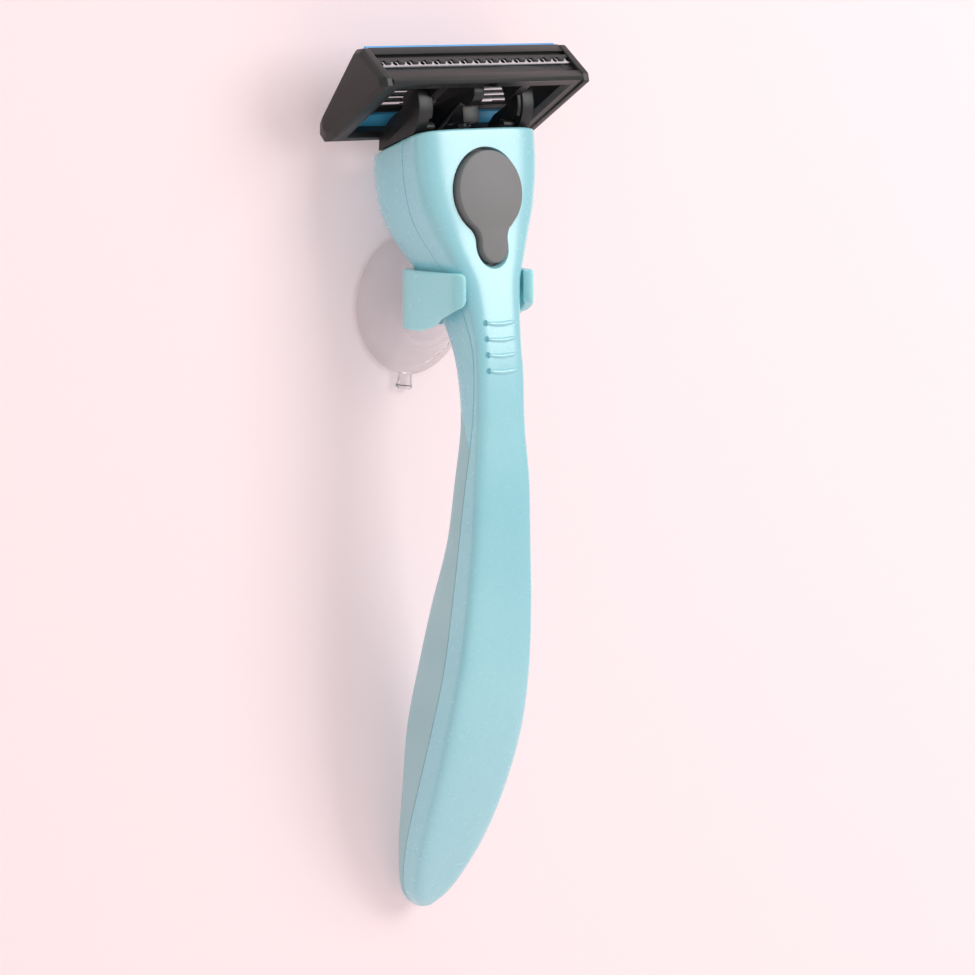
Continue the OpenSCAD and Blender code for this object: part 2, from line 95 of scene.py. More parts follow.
HALF = 21.25                # half the cartridge's width
FRAME_HALF = 19.25
CAP_Y, GUARD_Y, FACE_Z = -9.2, 7.7, 3.7
BACK_CAP, BACK_GUARD = -5.3, 0.79
SEAT_Z = 2.3
WINDOW_HALF = 16.85
WINDOW_Y = (-6.5, 5.5)
RIB_HALF = 1.0              # half the middle rib between the two windows
BLADE_HALF = 18.3
STRIP_Y, STRIP_Z, STRIP_TOP = (-8.8, -5.6), 3.0, 3.95
HOLE_COUNT, HOLE_PITCH, HOLE_Z, HOLE_R = 15, 2.7, -0.6, 0.4
NOSE_Y, NOSE_Z, NOSE_R = -4.6, -2.4, 2.0
RELIEF = [(-8.3, -9), (-8.3, -4), (6, 0.28), (6, -9)]  # room behind the rib for the plunger
TRACK_R = (4.9, 6.0)        # grooves in the cheeks that the arms' rails run in
CHEEK_T = 1.8
CHEEK_GAP = 0.15            # play between a cheek and its arm
CHEEK_OPENING = 4.2

# In the head's frame
PLUNGER_HALF = 1.62
PLUNGER_LOW, PLUNGER_SLOPE = 11.2, 2.2
PLUNGER_Y = (2.45, 3.7, 6.5)  # front, foot of its slanting back, and back
ROD_Y, ROD_R = 5.2, 1.17
TONGUE_Y, TONGUE_HALF, TONGUE_LOW = (7.4, 11.1), 4.1, -3.5
BAR_Z = (2.4, 6.2)          # the yoke's crossbar
PEG_X = 4.2                 # pegs that hold the button's springs
WEDGE_HALF = 1.6

ARM_OUT, ARM_T, ARM_R = 11.6, 2.2, 6.2
FOOT_OUT = 10.3             # outer face of an arm inside the mouth
STOP = (-13.6, 28.3)        # pin that ends the cartridge's turn, as y, z
STOP_LENGTH = 2.4

CUP_R, STEM_R = 11.2, 2.0
CLIP_T, CLIP_GAP, TIP_GAP = 1.3, 0.25, 5.7
CLIP_STATION = 4.45         # the clip follows the neck's outline here, at its widest


def back_z(y):
    """Height of the cartridge's sloping back plane."""
    return BACK_CAP + (y - CAP_Y) * (BACK_GUARD - BACK_CAP) / (GUARD_Y - CAP_Y)


def in_head(y, z):
    """A (y, z) point of the razor's frame, in the head's frame."""
    point = HEAD.inverted() @ Vector((0, y, z))
    return point.y, point.z


PIVOT_IN_HEAD = in_head(PIVOT.y, PIVOT.z)

# ================================================================ making meshes


def solid(name, verts, faces):
    """A mesh object in millimetres with outward faces."""
    mesh = bpy.data.meshes.new(name)
    mesh.from_pydata([tuple(v) for v in verts], [], faces)
    obj = bpy.data.objects.new(name, mesh)
    bpy.context.scene.collection.objects.link(obj)
    bm = bmesh.new()
    bm.from_mesh(mesh)
    bmesh.ops.recalc_face_normals(bm, faces=bm.faces)
    bm.to_mesh(mesh)
    bm.free()
    return obj


def loft(name, rings):
    """A closed skin over rings of equal length."""
    n = len(rings[0])
    verts = [p for ring in rings for p in ring]
    base = (len(rings) - 1) * n
    faces = [list(range(n)), list(range(base, base + n))[::-1]]
    for k in range(len(rings) - 1):
        for i in range(n):
            j = (i + 1) % n
            faces.append([k * n + i, (k + 1) * n + i, (k + 1) * n + j, k * n + j])
    return solid(name, verts, faces)


def prism(name, outline, x0, x1):
    """A (y, z) outline made solid from x0 to x1."""
    return loft(name, [[(x, y, z) for y, z in outline] for x in (x0, x1)])


def block(name, low, high):
    outline = [(low[1], low[2]), (high[1], low[2]), (high[1], high[2]), (low[1], high[2])]
    return prism(name, outline, low[0], high[0])


def layers(name, outline, steps):
    """An (x, z) outline stacked along y: steps holds (y, grow)."""
    return loft(name, [[(x, y, z) for x, z in outline(grow)] for y, grow in steps])


def turned(name, profile, at=(0, 0), steps=96):
    """A profile of (radius, y) turned about a line along Y. Its two end points lie on the line."""
    cx, cz = at
    verts = []
    faces = []
    inner = profile[1:-1]
    for r, y in inner:
        for i in range(steps):
            a = 2 * math.pi * i / steps
            verts.append((cx + r * math.cos(a), y, cz + r * math.sin(a)))
    first = len(verts)
    verts += [(cx, profile[0][1], cz), (cx, profile[-1][1], cz)]
    base = (len(inner) - 1) * steps
    for i in range(steps):
        j = (i + 1) % steps
        faces.append([first, j, i])
        faces.append([first + 1, base + i, base + j])
        for k in range(len(inner) - 1):
            low, high = k * steps, (k + 1) * steps
            faces.append([low + i, low + j, high + j, high + i])
    return solid(name, verts, faces)


def rod(name, radius, start, end, sides=32):
    """A round bar between two points."""
    axis = Vector(end) - Vector(start)
    turn = axis.to_track_quat("Z", "Y").to_matrix()
    circle = [turn @ Vector((radius * math.cos(2 * math.pi * i / sides),
                             radius * math.sin(2 * math.pi * i / sides), 0))
              for i in range(sides)]
    return loft(name, [[Vector(p) + c for c in circle] for p in (start, end)])


def bake(obj):
    """Applies the object's modifiers to its mesh."""
    graph = bpy.context.evaluated_depsgraph_get()
    mesh = bpy.data.meshes.new_from_object(obj.evaluated_get(graph))
    obj.modifiers.clear()
    obj.data = mesh
    return obj


def combine(obj, others, operation):
    for other in others:
        modifier = obj.modifiers.new("combine", "BOOLEAN")
        modifier.operation = operation
        modifier.solver = "EXACT"
        modifier.object = other
    bake(obj)
    for other in others:
        bpy.data.objects.remove(other)
    return obj


def cut(obj, *tools):
    return combine(obj, tools, "DIFFERENCE")


def keep(obj, *tools):
    return combine(obj, tools, "INTERSECT")


def fuse(obj, *tools):
    return combine(obj, tools, "UNION")


def join(obj, *others):
    """Adds other closed pieces to the object's mesh as they are."""
    bm = bmesh.new()
    for part in (obj, *others):
        bm.from_mesh(part.data)
    bm.to_mesh(obj.data)
    bm.free()
    for part in others:
        bpy.data.objects.remove(part)
    return obj


def mirror(obj):
    """A copy of the object on the other side of the middle plane."""
    copy = obj.copy()
    copy.data = obj.data.copy()
    bpy.context.scene.collection.objects.link(copy)
    copy.data.transform(Matrix.Scale(-1, 4, (1, 0, 0)))
    copy.data.flip_normals()
    return copy


def tidy(obj):
    """Merges doubled points and flat faces."""
    bm = bmesh.new()
    bm.from_mesh(obj.data)
    bmesh.ops.remove_doubles(bm, verts=bm.verts, dist=0.003)
    bmesh.ops.dissolve_limit(bm, angle_limit=math.radians(0.5), verts=bm.verts, edges=bm.edges)
    bm.to_mesh(obj.data)
    bm.free()
    return obj


def soften(obj, width, segments=2, angle=35):
    """Rounds the edges that are sharper than angle."""
    tidy(obj)
    modifier = obj.modifiers.new("soften", "BEVEL")
    modifier.width = width
    modifier.segments = segments
    modifier.limit_method = "ANGLE"
    modifier.angle_limit = math.radians(angle)
    return bake(obj)


def place(obj, at, material, body, smooth=35):
    """Puts a finished piece in its place in metres, on its body, in its CAD node's stead."""
    node = obj.name.split(".")[0]
    obj.name = node + "_detailed"
    mesh = obj.data
    mesh.transform(Matrix.Scale(MM, 4) @ at)
    mesh.polygons.foreach_set("use_smooth", [True] * len(mesh.polygons))
    mesh.set_sharp_from_angle(angle=math.radians(smooth))
    mesh.materials.clear()
    mesh.materials.append(material)
    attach(obj, body)
    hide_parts(node)


# ================================================================ curves and outlines


def station(t):
    """The handle's section values at index t, on a smooth curve through the stations."""
    k = min(int(t), LAST - 1)
    f = t - k
    rows = STATIONS[max(k - 1, 0)], STATIONS[k], STATIONS[k + 1], STATIONS[min(k + 2, LAST)]
    return [0.5 * (2 * q + (r - p) * f + (2 * p - 5 * q + 4 * r - s) * f * f
                   + (3 * q - p - 3 * r + s) * f ** 3) for p, q, r, s in zip(*rows)]


def on_body(t, angle, grow=0.0):
    """A point of the handle's surface: angle 0 is +X, 90 the back, -90 the front."""
    z, y_front, y_part, y_back, half, n_front, n_back = station(t)
    c, s = math.cos(angle), math.sin(angle)
    n = n_front if s < 0 else n_back
    depth = y_front - y_part - grow if s < 0 else y_back - y_part + grow
    r = (abs(c) ** n + abs(s) ** n) ** (-1 / n)
    return (half + grow) * r * c, y_part + depth * r * abs(s), z


def station_at(z):
    """The index at which the handle has this height."""
    low, high = 0.0, float(LAST)
    for _ in range(40):
        mid = (low + high) / 2
        if station(mid)[0] > z:
            low = mid
        else:
            high = mid
    return low


def rim_height(y):
    slope = (RIM_BACK[1] - RIM_FRONT[1]) / (RIM_BACK[0] - RIM_FRONT[0])
    return RIM_FRONT[1] + (y - RIM_FRONT[0]) * slope


def rim_station(angle):
    """The index at which the surface meets the slanting rim of the head's mouth."""
    low, high = 0.0, 3.0
    for _ in range(30):
        mid = (low + high) / 2
        _, y, z = on_body(mid, angle)
        if z > rim_height(y):
            low = mid
        else:
            high = mid
    return low


def rim_columns(angles, first_rings):
    """For each ring, the index of each column: along the rim at first, level further down."""
    rims = [rim_station(a) for a in angles]
    down = abs(STATIONS[1][0] - STATIONS[0][0])
    rows = [[r + s / down for r in rims] for s in first_rings]
    for k in range(1, 21):
        f = k / 20
        start = first_rings[-1] / down
        rows.append([r + start + (JOIN_STATION - r - start) * f for r in rims])
    return rows


def body_rings(angles, grow, last, steps, rim=(), first=None):
    """Rings over the handle's surface. rim holds (distance below the rim, growth) pairs."""
    rings = []
    if rim:
        rows = rim_columns(angles, [s for s, _ in rim])
        grows = [g for _, g in rim] + [grow] * (len(rows) - len(rim))
        for row, g in zip(rows, grows):
            rings.append([on_body(t, a, g) for t, a in zip(row, angles)])
        first = JOIN_STATION + 1 / steps
    for k in range(round((last - first) * steps) + 1):
        rings.append([on_body(first + k / steps, a, grow) for a in angles])
    return rings


def half_angles(side, count=72):
    """Angles over the front (-1) or back (1) half, from -X to +X."""
    return [side * (math.pi - math.pi * i / count) for i in range(count + 1)]


def close_half(ring, side):
    """Ends a half ring at the parting line with two small rounds and a fine gap."""
    (x0, y0, z0), (x1, y1, z1) = ring[0], ring[-1]
    depth = abs(ring[len(ring) // 2][1] - y0)
    r = min(SEAM_ROUND, abs(x0) * 0.2, depth * 0.2)
    left = [(x0 + r, y0 + side * SEAM, z0), (x0 + 0.3 * r, y0 + side * (SEAM + 0.3 * r), z0)]
    right = [(x1 - 0.3 * r, y1 + side * (SEAM + 0.3 * r), z1), (x1 - r, y1 + side * SEAM, z1)]
    start = (x0, y0 + side * (SEAM + r), z0)
    end = (x1, y1 + side * (SEAM + r), z1)
    inner = [(x, y0 + side * max(side * (y - y0), SEAM + r), z) for x, y, z in ring[1:-1]]
    return left + [start] + inner + [end] + right


def rim_round(base=0.0, flare=-1):
    """(distance below the rim, growth) over a rounded lip."""
    steps = [math.radians(90 - 18 * k) for k in range(6)]
    return [(RIM_ROUND * (1 - math.sin(a)), base + flare * RIM_ROUND * (1 - math.cos(a)))
            for a in steps]


def half_body(name, side, last, rim=True, first=0.0, grow=0.0, steps=8):
    angles = half_angles(side)
    lip = rim_round() if rim else ()
    rings = body_rings(angles, grow, last, steps, lip, first)
    return loft(name, [close_half(ring, side) for ring in rings])


def hollow():
    """The head's hollow, flared a little at the mouth."""
    angles = [2 * math.pi * i / 144 for i in range(144)]
    lip = [(s, -WALL + 0.3 * (1 - s / RIM_ROUND)) for s in (0.0, 0.15, RIM_ROUND)]
    rings = body_rings(angles, -WALL, HOLLOW_END, 6, lip)
    top = [(x, y, z + 8) for x, y, z in rings[0]]
    return loft("hollow", [top] + rings)


def grip_side(name, gap):
    """Everything behind and below the rear grip's upper edge, moved down by gap."""
    line = [(y, z - gap) for y, z in GRIP_LINE]
    return prism(name, line + [(-40, -130), (20, -130)], -40, 40)


def arc(cx, cy, r, a0, a1, steps):
    """Points along an arc, angles in degrees."""
    turns = [math.radians(a0 + (a1 - a0) * k / steps) for k in range(steps + 1)]
    return [(cx + r * math.cos(a), cy + r * math.sin(a)) for a in turns]


def keyhole(grow=0.0):
    """The button's outline: a large circle, a filleted waist and a small lobe."""
    to_big, to_small = BUTTON_R + WAIST_R, LOBE_R + WAIST_R
    down = (to_big ** 2 - to_small ** 2 + LOBE_DROP ** 2) / (2 * LOBE_DROP)
    out = math.sqrt(to_big ** 2 - down ** 2)
    big = math.degrees(math.atan2(-down, out))
    small = math.degrees(math.atan2(LOBE_DROP - down, out))
    right = arc(0, 0, BUTTON_R + grow, 90, big, 48)
    right += arc(out, -down, WAIST_R - grow, 180 + big, 180 + small, 14)[1:]
    right += arc(0, -LOBE_DROP, LOBE_R + grow, small, -90, 20)[1:]
    left = [(-x, z) for x, z in right[1:-1]][::-1]
    return [(x, z + BUTTON_Z) for x, z in right + left]

# ================================================================ finishes


def linear(code):
    """A #RRGGBB colour as linear red, green, blue and alpha."""
    parts = [int(code[i:i + 2], 16) / 255 for i in (1, 3, 5)]
    return [p / 12.92 if p <= 0.04045 else ((p + 0.055) / 1.055) ** 2.4 for p in parts] + [1.0]


def add(tree, kind, inputs=(), **settings):
    """Adds a node: settings are its own, inputs are values or other nodes' sockets."""
    made = tree.nodes.new(kind)
    for key, value in settings.items():
        setattr(made, key, value)
    for key, value in dict(inputs).items():
        if isinstance(value, bpy.types.NodeSocket):
            tree.links.new(value, made.inputs[key])
        else:
            made.inputs[key].default_value = value
    return made


def surface(name, shader):
    """A new material with its shader settings. Returns the material, its tree and its shader."""
    made = bpy.data.materials.new(name)
    made.use_nodes = True
    tree = made.node_tree
    tree.nodes.clear()
    body = add(tree, "ShaderNodeBsdfPrincipled", shader)
    add(tree, "ShaderNodeOutputMaterial", {"Surface": body.outputs["BSDF"]})
    return made, tree, body


def grain(tree, size, detail=2.0, stretch=(1, 1, 1)):
    """Noise with features of this size in millimetres, longer where stretch is smaller."""
    place_on = add(tree, "ShaderNodeTexCoord")
    scaled = add(tree, "ShaderNodeMapping", {"Vector": place_on.outputs["Object"], "Scale": stretch})
    return add(tree, "ShaderNodeTexNoise", {
        "Vector": scaled.outputs["Vector"], "Scale": 1 / (size * MM), "Detail": detail})


def ramp(tree, source, low, high, start=0.3, end=0.7):
    """Turns noise from start to end into values from low to high."""
    return add(tree, "ShaderNodeMapRange", {
        "Value": source, "From Min": start, "From Max": end, "To Min": low, "To Max": high})


def relief(tree, body, height, depth):
    """Raises the surface by up to depth millimetres."""
    bump = add(tree, "ShaderNodeBump", {
        "Height": height, "Strength": 1.0, "Distance": depth * MM})
    tree.links.new(bump.outputs["Normal"], body.inputs["Normal"])


def tint(tree, body, factor, first, second):
    """Colour from first to second as factor goes from 0 to 1."""
    mix = add(tree, "ShaderNodeMix", data_type="RGBA")
    tree.links.new(factor, mix.inputs["Factor"])
    mix.inputs["A"].default_value = linear(first)
    mix.inputs["B"].default_value = linear(second)
    tree.links.new(mix.outputs["Result"], body.inputs["Base Color"])


def moulded(name, colours, rough, shader, ripple=(9.0, 0.012), fine=(0.35, 0.0012)):
    """Moulded plastic: slight flow tone, a slow ripple and a fine skin."""
    made, tree, body = surface(name, shader)
    flow = grain(tree, 14)
    tint(tree, body, ramp(tree, flow.outputs["Fac"], 0, 1).outputs["Result"], *colours)
    skin = grain(tree, fine[0], 4)
    wander = ramp(tree, skin.outputs["Fac"], *rough)
    tree.links.new(wander.outputs["Result"], body.inputs["Roughness"])
    slow = grain(tree, ripple[0], 0)
    tall = add(tree, "ShaderNodeMath", {0: slow.outputs["Fac"], 1: ripple[1] / fine[1]},
               operation="MULTIPLY")
    both = add(tree, "ShaderNodeMath", {0: tall.outputs["Value"], 1: skin.outputs["Fac"]},
               operation="ADD")
    relief(tree, body, both.outputs["Value"], fine[1])
    return made


def aqua_abs():
    """Injection-moulded ABS from a polished tool: an even satin gloss with soft highlights."""
    return moulded("aqua_abs", ("#9ADDE8", "#A0E1EA"), (0.25, 0.28),
                   {"IOR": 1.53, "Specular IOR Level": 0.8, "Coat Weight": 0.7,
                    "Coat Roughness": 0.22}, ripple=(14.0, 0.004), fine=(1.2, 0.0001))


def grip_tpe():
    """Soft overmoulded TPE with an eroded tool finish: matt, slightly velvety."""
    return moulded("grip_tpe", ("#A6D0D5", "#AED6DA"), (0.55, 0.68),
                   {"IOR": 1.5, "Sheen Weight": 0.15, "Sheen Roughness": 0.5},
                   ripple=(7.0, 0.01), fine=(0.3, 0.004))


def clip_pp():
    """Moulded polypropylene: pale, glossy, and lit a little from within."""
    return moulded("clip_pp", ("#A5E9EF", "#ACEFF5"), (0.2, 0.28),
                   {"IOR": 1.49, "Subsurface Weight": 0.15, "Subsurface Scale": 0.001,
                    "Coat Weight": 0.4, "Coat Roughness": 0.12}, ripple=(9.0, 0.004), fine=(1.2, 0.0001))


def grey_abs():
    """ABS from a spark-eroded tool: an even matt grey."""
    return moulded("grey_abs", ("#7C7C7C", "#818181"), (0.5, 0.56), {"IOR": 1.53},
                   ripple=(6.0, 0.004), fine=(0.25, 0.002))


def black_abs():
    """Black ABS with a fine satin skin: soft grey highlights along the edges."""
    return moulded("black_abs", ("#1C1D1D", "#222323"), (0.36, 0.42), {"IOR": 1.5},
                   ripple=(5.0, 0.004), fine=(0.22, 0.0015))


def black_tpe():
    """Soft black guard rubber: matt, with a faint bloom."""
    return moulded("black_tpe", ("#252626", "#303131"), (0.6, 0.75),
                   {"IOR": 1.5, "Sheen Weight": 0.1}, ripple=(4.0, 0.004), fine=(0.2, 0.006))


def teal_pp():
    """Moulded polypropylene carrier in deep teal, matt."""
    return moulded("teal_pp", ("#3A97C0", "#429FCA"), (0.45, 0.55), {"IOR": 1.49},
                   ripple=(5.0, 0.004), fine=(0.25, 0.004))


def lube_polymer():
    """Pressed water-soluble polymer: waxy and a little mottled."""
    return moulded("lube_polymer", ("#55AEEE", "#68BCF8"), (0.32, 0.45),
                   {"IOR": 1.47, "Subsurface Weight": 0.2, "Subsurface Scale": 0.0006},
                   ripple=(3.0, 0.02), fine=(0.3, 0.006))


def clear_pvc():
    """Clear plasticised PVC: soft, faintly grey, and wavy from its mould."""
    made, tree, body = surface("clear_pvc", {
        "IOR": 1.2, "Transmission Weight": 0.96, "Specular IOR Level": 0.6})
    cloud = grain(tree, 6, 2)
    tint(tree, body, ramp(tree, cloud.outputs["Fac"], 0, 1).outputs["Result"], "#F4F3F4", "#FBFAFB")
    rough = ramp(tree, cloud.outputs["Fac"], 0.04, 0.1)
    tree.links.new(rough.outputs["Result"], body.inputs["Roughness"])
    wave = grain(tree, 4, 0)
    relief(tree, body, wave.outputs["Fac"], 0.03)
    return made


def steel(name, colours, rough, line, length, depth):
    """Stainless steel with fine lines along X: line wide and length long, in millimetres."""
    made, tree, body = surface(name, {"Metallic": 1.0})
    lines = grain(tree, line, 3, (line / length, 1, 1))
    tone = ramp(tree, lines.outputs["Fac"], 0, 1)
    tint(tree, body, tone.outputs["Result"], *colours)
    wander = ramp(tree, lines.outputs["Fac"], *rough)
    tree.links.new(wander.outputs["Result"], body.inputs["Roughness"])
    relief(tree, body, lines.outputs["Fac"], depth)
    return made


FINISH = {
    "aqua": aqua_abs(),
    "grip": grip_tpe(),
    "clip": clip_pp(),
    "grey": grey_abs(),
    "black": black_abs(),
    "rubber": black_tpe(),
    "teal": teal_pp(),
    "lube": lube_polymer(),
    "pvc": clear_pvc(),
    # Ground edge strip: bright with very fine lines along the edge
    "blade": steel("ground_stainless", ("#B9BEC3", "#D5D9DC"), (0.16, 0.26), 0.06, 6, 0.0015),
    # Bent strip: rolled, duller
    "holder": steel("rolled_stainless", ("#8F9397", "#A3A7AB"), (0.3, 0.42), 0.1, 5, 0.002),
    # Drawn wire: lines follow no one way at this size
    "wire": steel("drawn_wire", ("#A9ADB1", "#C6CACD"), (0.25, 0.35), 0.12, 1.2, 0.002)}

FINISH["plunger"] = FINISH["black"]

CLIP_ROUND, TIP_ROUND = 0.45, 1.0
RIDGE_HALF, RIDGE_TOP, RIDGE_PITCH, RIDGE_COUNT = 2.9, -1.9, 2.45, 4
FIN_LEAN, FIN_PITCH, FIN_COUNT = 0.8, 0.95, 15
CAMERA_AT = (-404.05, -483.32, 53.5)
CAMERA_TURN, CAMERA_RISE, CAMERA_LENS = -41.0, 7.5, 147.7
WALL_COLOUR, FLOOR_COLOUR = "#ECDADC", "#F4E9E9"
WALL_GLOW = 0.3             # share of the wall's colour that it gives off by itself
SKY, KEY_W, FILL_W, TOP_W = 0.5, 2.7, 0.2, 0.5

# ================================================================ wall holder


def suction_cup():
    profile = [(0, -2.2), (2.6, -2.12), (4.6, -1.9), (6.9, -1.4), (8.8, -0.9), (9.5, -0.3),
               (9.8, 0.0), (10.7, 0.0), (11.1, -0.06), (11.2, -0.2), (11.1, -0.36), (10.4, -0.95),
               (9.6, -1.6), (8.7, -2.25), (7.9, -2.72), (7.55, -2.95), (7.38, -3.3), (7.2, -3.7),
               (7.05, -3.86), (6.8, -3.9), (6.4, -3.8), (5.8, -3.72), (4.4, -3.72), (3.4, -3.78),
               (2.6, -3.88), (2.15, -4.1), (2.0, -4.5), (2.0, -6.5), (2.1, -6.64), (2.75, -6.8),
               (2.9, -6.95), (2.9, -7.2), (2.75, -7.45), (2.3, -7.75), (1.9, -7.8), (0, -7.8)]
    cup = turned("suction_cup", profile)

    def tab(grow):
        line = [(-1.25, 1.6), (-1.25, -1.2), (-1.45, -2.0)] + arc(-0.85, -1.9, 0.6, 180, 270, 5)
        line += arc(0.85, -1.9, 0.6, 270, 360, 5) + [(1.45, -2.0), (1.25, -1.2), (1.25, 1.6)]
        return [(x * (1 + grow), z * (1 + grow / 3)) for x, z in line]

    pull = layers("pull", tab, [(-0.8, -0.1), (-0.72, 0), (-0.18, 0), (-0.1, -0.1)])
    pull.data.transform(Matrix.Rotation(math.radians(8), 4, "Y") @ Matrix.Translation((0, 0, -CUP_R)))
    fuse(cup, pull)
    place(cup, HERE, FINISH["pvc"], "cup", smooth=40)


def clip_span(y):
    """Lower and upper edge of the clip's band at this depth."""
    low = [(-24, 1.8), (-22.4, 1.6), (-20.5, 1.1), (-17.5, -0.6), (-14.5, -2.6), (-12, -3.2), (0, -3.2)]
    for (y0, z0), (y1, z1) in zip(low, low[1:]):
        if y <= y1:
            f = max(0.0, (y - y0) / (y1 - y0))
            f = f * f * (3 - 2 * f) * 0.5 + f * 0.5
            return z0 + (z1 - z0) * f, 6.15
    return low[-1][1], 6.15


def clip_ring(angle, inset, thin):
    """A rounded cross-section of the band, inset at its edges and thinner by thin each side."""
    low, high = clip_span(on_body(CLIP_STATION, angle, CLIP_GAP)[1])
    low += inset
    high -= inset
    mid = CLIP_T / 2 - thin
    r = min(CLIP_ROUND, mid * 0.9)
    corners = ((mid - r, high - r, 0), (r - mid, high - r, 90),
               (r - mid, low + r, 180), (mid - r, low + r, 270))
    ring = [p for d, z, turn in corners for p in arc(d, z, r, turn, turn + 90, 6)]
    points = [(on_body(CLIP_STATION, angle, CLIP_GAP + CLIP_T / 2 + d), z) for d, z in ring]
    return [(x, y, z) for (x, y, _), z in points]


def clip_tip():
    """The angle on the front left at which the band ends."""
    low, high = math.radians(-180), math.radians(-91)
    for _ in range(40):
        mid = (low + high) / 2
        if on_body(CLIP_STATION, mid, CLIP_GAP)[0] < -TIP_GAP:
            low = mid
        else:
            high = mid
    return low


def clip_boss():
    """The round foot on the band's back, cut where the band's wall takes over."""
    boss = turned("boss", [(0, -4.3), (3.9, -4.3), (4.25, -4.4), (4.4, -4.7), (4.4, -6.2), (0, -6.2)],
                  (0, 1.5))
    angles = [2 * math.pi * i / 120 for i in range(120)]
    outline = [on_body(CLIP_STATION, a, CLIP_GAP + CLIP_T / 2)[:2] for a in angles]
    return cut(boss, loft("tube", [[(x, y, z) for x, y in outline] for z in (8, -6)]))


def holder_clip():
    """A straight-walled band round the neck, deep behind and narrow at its two rounded tips."""
    tip = clip_tip()
    start, end = 2 * math.pi + tip, -math.pi - tip
    count = 170
    angles = [start + (end - start) * k / count for k in range(count + 1)]
    line = [Vector(on_body(CLIP_STATION, a, CLIP_GAP)) for a in angles]
    travel = [0.0]
    for a, b in zip(line, line[1:]):
        travel.append(travel[-1] + (b - a).length)
    rings = []
    for angle, s in zip(angles, travel):
        s = min(s, travel[-1] - s)
        corner = max(0.0, TIP_ROUND - s)
        inset = TIP_ROUND - math.sqrt(TIP_ROUND ** 2 - corner ** 2)
        edge = max(0.0, 0.5 - s)
        thin = 0.5 - math.sqrt(0.25 - edge ** 2)
        rings.append(clip_ring(angle, min(inset, 0.95), min(thin, 0.42)))
    clip = loft("holder_clip", rings)
    fuse(clip, clip_boss())
    cut(clip, rod("bore", STEM_R + 0.08, (0, 0, 0), (0, -9, 0)))
    place(clip, HERE, FINISH["clip"], "holder", smooth=40)


# ================================================================ handle


def front_height(x, z):
    """Depth of the handle's front surface at this x and z."""
    _, y_front, y_part, _, half, n_front, _ = station(station_at(z))
    return y_part + (y_front - y_part) * (1 - min(1.0, abs(x) / half) ** n_front) ** (1 / n_front)


def grip_ridge():
    """One raised, slightly arched finger ridge, about its own middle."""
    rings = []
    for k in range(25):
        x = RIDGE_HALF * math.sin(math.radians(-90 + 7.5 * k))
        swell = math.sqrt(max(0.0, 1 - (x / RIDGE_HALF) ** 4)) + 0.02
        arch = 0.3 * (x / RIDGE_HALF) ** 2
        rings.append([(x, 0.34 * swell * math.cos(a), arch + 0.4 * swell * math.sin(a))
                      for a in (2 * math.pi * i / 16 for i in range(16))])
    return loft("ridge", rings)


def repeated(name, template, count, start, step):
    """Copies of the template as one mesh, one every step from start. All in millimetres."""
    tree = bpy.data.node_groups.new(name + "_row", "GeometryNodeTree")
    ports = tree.interface
    ports.new_socket("Geometry", in_out="OUTPUT", socket_type="NodeSocketGeometry")
    wanted = {"Piece": ("NodeSocketObject", template), "Count": ("NodeSocketInt", count),
              "Start": ("NodeSocketVector", start), "Step": ("NodeSocketVector", step),
              "Material": ("NodeSocketMaterial", FINISH["black"])}
    keys = {label: ports.new_socket(label, in_out="INPUT", socket_type=kind).identifier
            for label, (kind, _) in wanted.items()}
    given = add(tree, "NodeGroupInput").outputs
    line = add(tree, "GeometryNodeMeshLine", {
        "Count": given["Count"], "Start Location": given["Start"], "Offset": given["Step"]})
    piece = add(tree, "GeometryNodeObjectInfo", {"Object": given["Piece"]})
    copies = add(tree, "GeometryNodeInstanceOnPoints", {
        "Points": line.outputs["Mesh"], "Instance": piece.outputs["Geometry"]})
    real = add(tree, "GeometryNodeRealizeInstances", {"Geometry": copies.outputs["Instances"]})
    painted = add(tree, "GeometryNodeSetMaterial", {
        "Geometry": real.outputs["Geometry"], "Material": given["Material"]})
    add(tree, "NodeGroupOutput", {"Geometry": painted.outputs["Geometry"]})
    row = solid(name, [(0, 0, 0)], [])
    modifier = row.modifiers.new("row", "NODES")
    modifier.node_group = tree
    for label, (_, value) in wanted.items():
        modifier[keys[label]] = value
    bake(row)
    bpy.data.objects.remove(template)
    return row


def front_shell():
    """The front of the handle, with the mouth, the button's opening and the finger ridges."""
    shell = half_body("front_shell", -1, LAST)
    mouth = hollow()
    opening = layers("opening", keyhole, [
        (-3, GROOVE + 0.75), (-0.6, GROOVE + 0.75), (-0.45, GROOVE + 0.5),
        (-0.1, GROOVE + 0.12), (0.25, GROOVE), (6, GROOVE)])
    inside = layers("inside", keyhole, [(INNER_FACE, GROOVE + 1.3), (6, GROOVE + 1.3)])
    opening.data.transform(HEAD)
    inside.data.transform(HEAD)
    cut(shell, mouth, opening, inside)
    z = RIDGE_TOP - 1.5 * RIDGE_PITCH
    lean = (front_height(0, RIDGE_TOP) - front_height(0, z - 1.5 * RIDGE_PITCH)) / 3
    top = (0, front_height(0, RIDGE_TOP) + 0.08, RIDGE_TOP)
    ridges = repeated("ridges", grip_ridge(), RIDGE_COUNT, top, (0, -lean, -RIDGE_PITCH))
    dimples = []
    for k in range(RIDGE_COUNT):
        x, z = -RIDGE_HALF - 0.15, RIDGE_TOP - k * RIDGE_PITCH + 0.3
        y = front_height(x, z) - 0.1
        ball = turned("dimple", [(0.5 * math.sin(a), y - 0.5 * math.cos(a))
                                 for a in (math.pi * i / 12 for i in range(13))], (x, z), 24)
        dimples.append(ball)
    cut(shell, *dimples)
    fuse(shell, ridges)
    place(shell, HERE, FINISH["aqua"], "handle", smooth=32)


